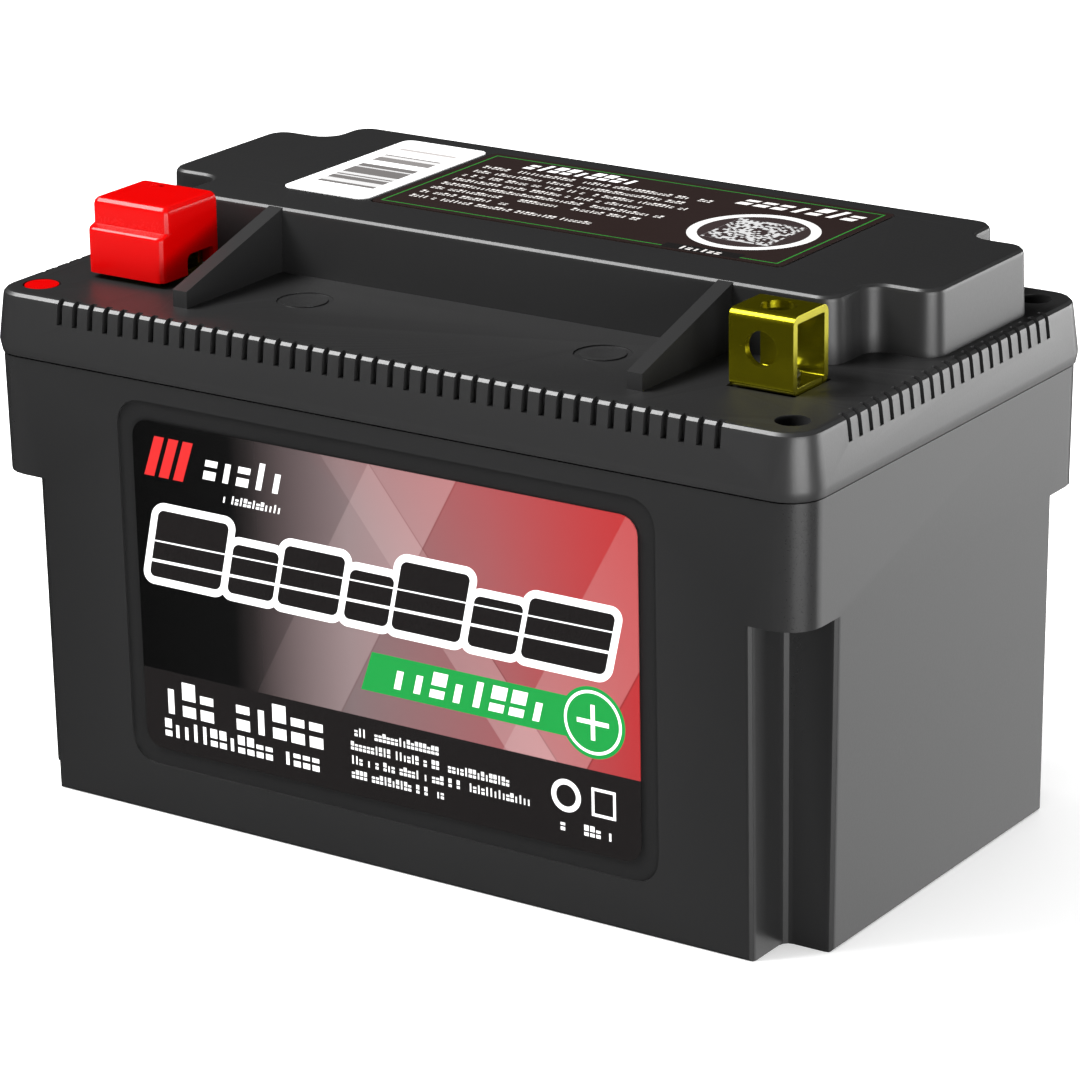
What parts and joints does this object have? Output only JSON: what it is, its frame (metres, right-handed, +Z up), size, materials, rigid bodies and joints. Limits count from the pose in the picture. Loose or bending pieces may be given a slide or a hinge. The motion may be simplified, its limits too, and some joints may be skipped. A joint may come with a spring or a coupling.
{
  "type": "motorcycle battery",
  "caption": "Sealed box battery with a grooved screwed lid, a raised top block, folded box terminals and a red pull-off terminal cover.",
  "frame": {"origin": "centre of the base, on the surface it stands on", "axes": "+X along the length, from the positive to the negative terminal; -Y is the labelled front with the terminals; +Z up"},
  "size_m": [0.15, 0.087, 0.0953],
  "materials": {
    "case_plastic": "satin, fine grain",
    "lid_plastic": "satin, fine grain",
    "red_plastic": "satin",
    "terminal_metal": "polished, yellow passivated",
    "screw_steel": "zinc plated",
    "busbar_copper": "bare copper",
    "link_nickel": "nickel strip",
    "cell_sleeve": "shrink sleeve over a can",
    "holder_plastic": "moulded",
    "seal_rubber": "soft",
    "foam": "closed-cell foam",
    "insulator_paper": "pressed fibre sheet",
    "board_laminate": "solder mask",
    "component_package": "moulded package",
    "front_label_print": "printed film",
    "top_label_print": "printed film",
    "barcode_label_print": "printed film"
  },
  "bodies": {
    "battery": {"barcode_label": "barcode_label_print", "board_control_chip": "component_package", "board_shunt": "busbar_copper", "board_transistor_1": "component_package", "board_transistor_2": "component_package", "board_transistor_3": "component_package", "board_transistor_4": "component_package", "case": "case_plastic", "cell_1_back": "cell_sleeve", "cell_1_front": "cell_sleeve", "cell_2_back": "cell_sleeve", "cell_2_front": "cell_sleeve", "cell_3_back": "cell_sleeve", "cell_3_front": "cell_sleeve", "cell_4_back": "cell_sleeve", "cell_4_front": "cell_sleeve", "cell_link_lower_left": "link_nickel", "cell_link_lower_right": "link_nickel", "cell_link_middle": "link_nickel", "cell_link_negative": "link_nickel", "cell_link_positive": "link_nickel", "corner_plug": "red_plastic", "foam_pad_back": "foam", "foam_pad_base": "foam", "foam_pad_front": "foam", "foam_pad_left": "foam", "foam_pad_right": "foam", "front_label": "front_label_print", "insulator_sheet": "insulator_paper", "lid": "lid_plastic", "lid_gasket": "seal_rubber", "lid_screw_back_left": "screw_steel", "lid_screw_back_right": "screw_steel", "lid_screw_front_left": "screw_steel", "lid_screw_front_right": "screw_steel", "lower_cell_holder": "holder_plastic", "negative_busbar": "busbar_copper", "negative_terminal": "terminal_metal", "positive_busbar": "busbar_copper", "positive_terminal": "terminal_metal", "protection_board": "board_laminate", "terminal_bolt_negative": "screw_steel", "terminal_bolt_positive": "screw_steel", "terminal_nut_negative": "screw_steel", "terminal_nut_positive": "screw_steel", "terminal_seal_negative": "seal_rubber", "terminal_seal_positive": "seal_rubber", "top_label": "top_label_print", "upper_cell_holder": "holder_plastic"},
    "terminal_cover": {"positive_terminal_cover": "red_plastic"}
  },
  "joints": [
    {"name": "cover_lift", "type": "slide", "parent": "battery", "child": "terminal_cover", "axis": [0, 0, 1], "range_m": [0, 0.015]}
  ]
}
